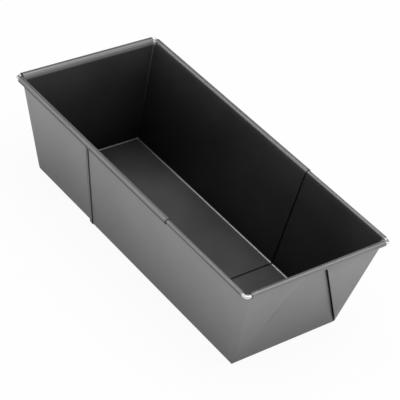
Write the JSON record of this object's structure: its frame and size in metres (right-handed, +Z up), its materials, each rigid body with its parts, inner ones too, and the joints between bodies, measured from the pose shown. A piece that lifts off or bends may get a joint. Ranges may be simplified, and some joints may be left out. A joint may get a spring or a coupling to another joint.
{
  "type": "adjustable loaf pan",
  "caption": "Extendable loaf tin: two folded coated-steel trays with drafted walls and wired rims telescope to set the baking length.",
  "frame": {"origin": "on the table under the middle of the pan, at the length shown in the picture", "axes": "+X along the pan towards the outer tray's end wall, +Y across it, +Z up"},
  "size_m": [0.263, 0.1214, 0.0777],
  "materials": {
    "coated_steel": "satin dark grey non-stick coat on thin steel sheet",
    "bright_wire": "bright drawn steel wire"
  },
  "bodies": {
    "outer_half": {"outer_tray": "coated_steel", "outer_rim_wire": "bright_wire"},
    "inner_half": {"inner_tray": "coated_steel", "inner_rim_wire": "bright_wire"}
  },
  "joints": [
    {"name": "length_slide", "type": "slide", "parent": "outer_half", "child": "inner_half", "axis": [-1, 0, 0], "range_m": [-0.063, 0.066]}
  ]
}
